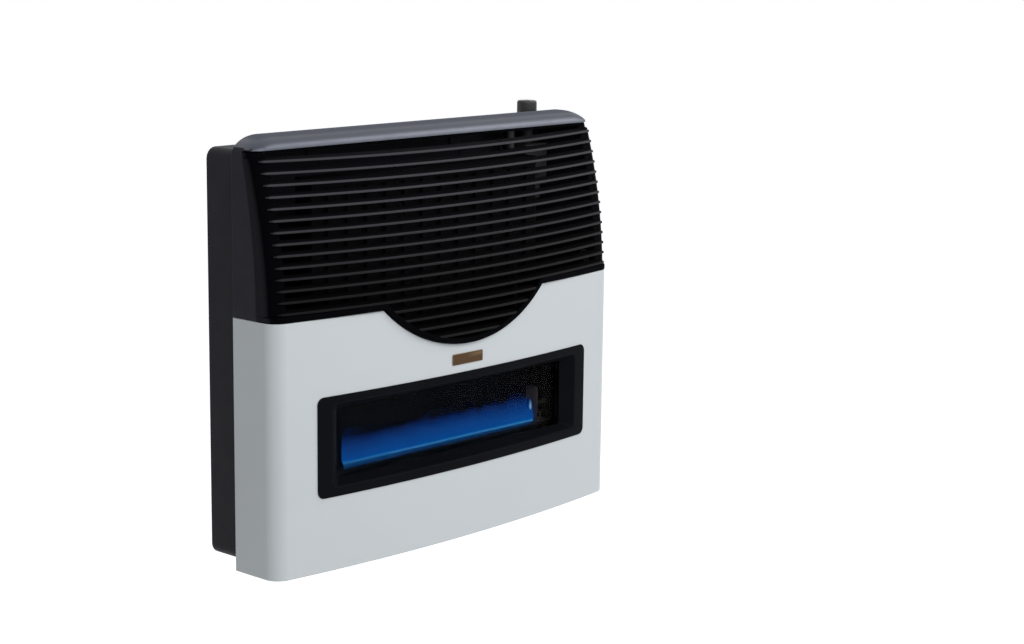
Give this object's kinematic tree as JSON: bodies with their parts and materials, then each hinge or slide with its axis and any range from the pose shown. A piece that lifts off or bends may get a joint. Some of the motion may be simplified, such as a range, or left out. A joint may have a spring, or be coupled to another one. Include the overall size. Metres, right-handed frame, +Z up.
{
  "type": "wall mounted gas heater",
  "caption": "Wall mounted room-sealed gas heater with a bowed pale front, a wide window onto the burner, a black louvre grille and a control knob on top.",
  "frame": {"origin": "middle of the wall rail's back face, on the wall plane and the heater's vertical centre line", "axes": "+Z up, +X to the right seen from the room, -Y out into the room, +Y into the wall"},
  "size_m": [0.716, 0.186, 0.6372],
  "materials": {
    "casing_black": "satin black paint with a fine texture",
    "cover_black": "semi-gloss black paint",
    "grille_black": "glossy moulded black",
    "panel_white": "smooth cool white powder coat",
    "bezel_black": "satin black",
    "badge_bronze": "brushed bronze, bare",
    "galvanised_steel": "galvanised sheet",
    "dark_enamel": "heat-proof dark enamel",
    "stainless": "heat-tinted stainless",
    "cast_aluminium": "cast, lightly blasted",
    "brass_fitting": "machined",
    "knob_black": "moulded black with a white pointer",
    "rubber_black": "matt",
    "ceramic_white": "glazed",
    "fibre_gasket": "woven mineral fibre",
    "window_glass": "smooth heat-proof glass"
  },
  "bodies": {
    "heater_body": {"wall_rail": "galvanised_steel", "lower_spacer_left": "rubber_black", "lower_spacer_right": "rubber_black", "rear_casing": "casing_black", "chamber_support_left": "galvanised_steel", "chamber_support_right": "galvanised_steel", "air_inlet_collar": "galvanised_steel", "flue_outlet_pipe": "galvanised_steel", "air_duct": "galvanised_steel", "heat_exchanger": "dark_enamel", "exchanger_baffle": "dark_enamel", "combustion_chamber": "dark_enamel", "chamber_gasket": "fibre_gasket", "chamber_front_plate": "dark_enamel", "glass_gasket": "fibre_gasket", "window_glass": "window_glass", "glass_retainer": "dark_enamel", "retainer_screw_1": "stainless", "retainer_screw_2": "stainless", "retainer_screw_3": "stainless", "retainer_screw_4": "stainless", "burner_tube": "stainless", "burner_bracket_left": "stainless", "burner_bracket_right": "stainless", "injector_nozzle": "brass_fitting", "injector_holder": "cast_aluminium", "pilot_bracket": "stainless", "pilot_hood": "stainless", "electrode_insulator": "ceramic_white", "spark_electrode": "stainless", "gas_valve_body": "cast_aluminium", "valve_bracket": "galvanised_steel", "gas_inlet_pipe": "cast_aluminium", "gas_inlet_fitting": "brass_fitting", "inlet_locknut": "brass_fitting", "burner_feed_pipe": "cast_aluminium", "pilot_tube": "cast_aluminium", "thermocouple": "brass_fitting", "ignition_lead": "rubber_black", "thermostat_bulb": "brass_fitting", "thermostat_capillary": "brass_fitting", "bulb_clip": "galvanised_steel", "control_bezel": "knob_black", "igniter_body": "knob_black", "igniter_nut": "stainless", "lower_front_panel": "panel_white", "window_bezel": "bezel_black", "badge_plate": "badge_bronze", "upper_shell": "cover_black", "grille": "grille_black", "side_joiner_left": "galvanised_steel", "cover_hook_left": "cover_black", "cover_screw_left": "stainless", "side_joiner_right": "galvanised_steel", "cover_hook_right": "cover_black", "cover_screw_right": "stainless"},
    "spindle": {"valve_spindle": "stainless"},
    "knob": {"control_knob": "knob_black"},
    "button": {"igniter_button": "knob_black"}
  },
  "joints": [
    {"name": "control_knob_turn", "type": "hinge", "parent": "heater_body", "child": "spindle", "pos_m": [0.286, -0.035, 0.02], "axis": [0, 0, 1], "range_deg": [0, 270]},
    {"name": "control_knob_press", "type": "slide", "parent": "spindle", "child": "knob", "axis": [0, 0, -1], "range_m": [0, 0.005], "stiffness_N_per_m": 800, "springref_m": -0.002},
    {"name": "igniter_button_press", "type": "slide", "parent": "heater_body", "child": "button", "axis": [0, 0, -1], "range_m": [0, 0.006], "stiffness_N_per_m": 600, "springref_m": -0.003}
  ]
}
